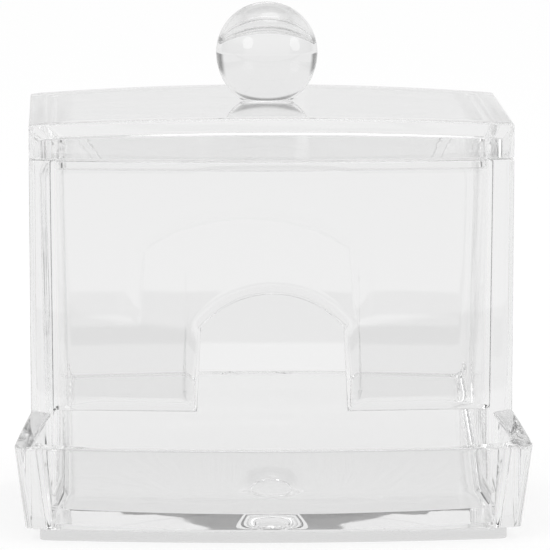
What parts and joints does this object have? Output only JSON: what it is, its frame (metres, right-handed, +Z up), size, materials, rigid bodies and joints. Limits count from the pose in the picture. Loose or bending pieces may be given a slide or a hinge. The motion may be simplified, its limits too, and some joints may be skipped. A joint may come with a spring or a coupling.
{
  "type": "cotton pad dispenser",
  "caption": "Clear moulded box for cotton pads with a lift-off lid on a ball knob, a finger arch in front and a sloping floor down to a low tray.",
  "frame": {"origin": "at the height of the underside, under the middle of the object's outline", "axes": "+X across the front, to the right as seen from the front, +Y from the tray in front to the back wall, +Z up"},
  "size_m": [0.1014, 0.0984, 0.1018],
  "materials": {
    "clear_body": "clear, moulded, glossy",
    "clear_base": "clear, moulded, glossy",
    "clear_ramp": "clear, moulded, glossy",
    "clear_lid": "clear, moulded, glossy",
    "clear_knob": "clear, polished"
  },
  "bodies": {
    "dispenser": {"base_plate": "clear_base", "body_shell": "clear_body", "front_tray": "clear_body", "dispensing_ramp": "clear_ramp"},
    "lid_and_knob": {"lid": "clear_lid", "ball_knob": "clear_knob"}
  },
  "joints": [
    {"name": "lid_lift", "type": "slide", "parent": "dispenser", "child": "lid_and_knob", "axis": [0, 0, 1], "range_m": [0, 0.06]}
  ]
}
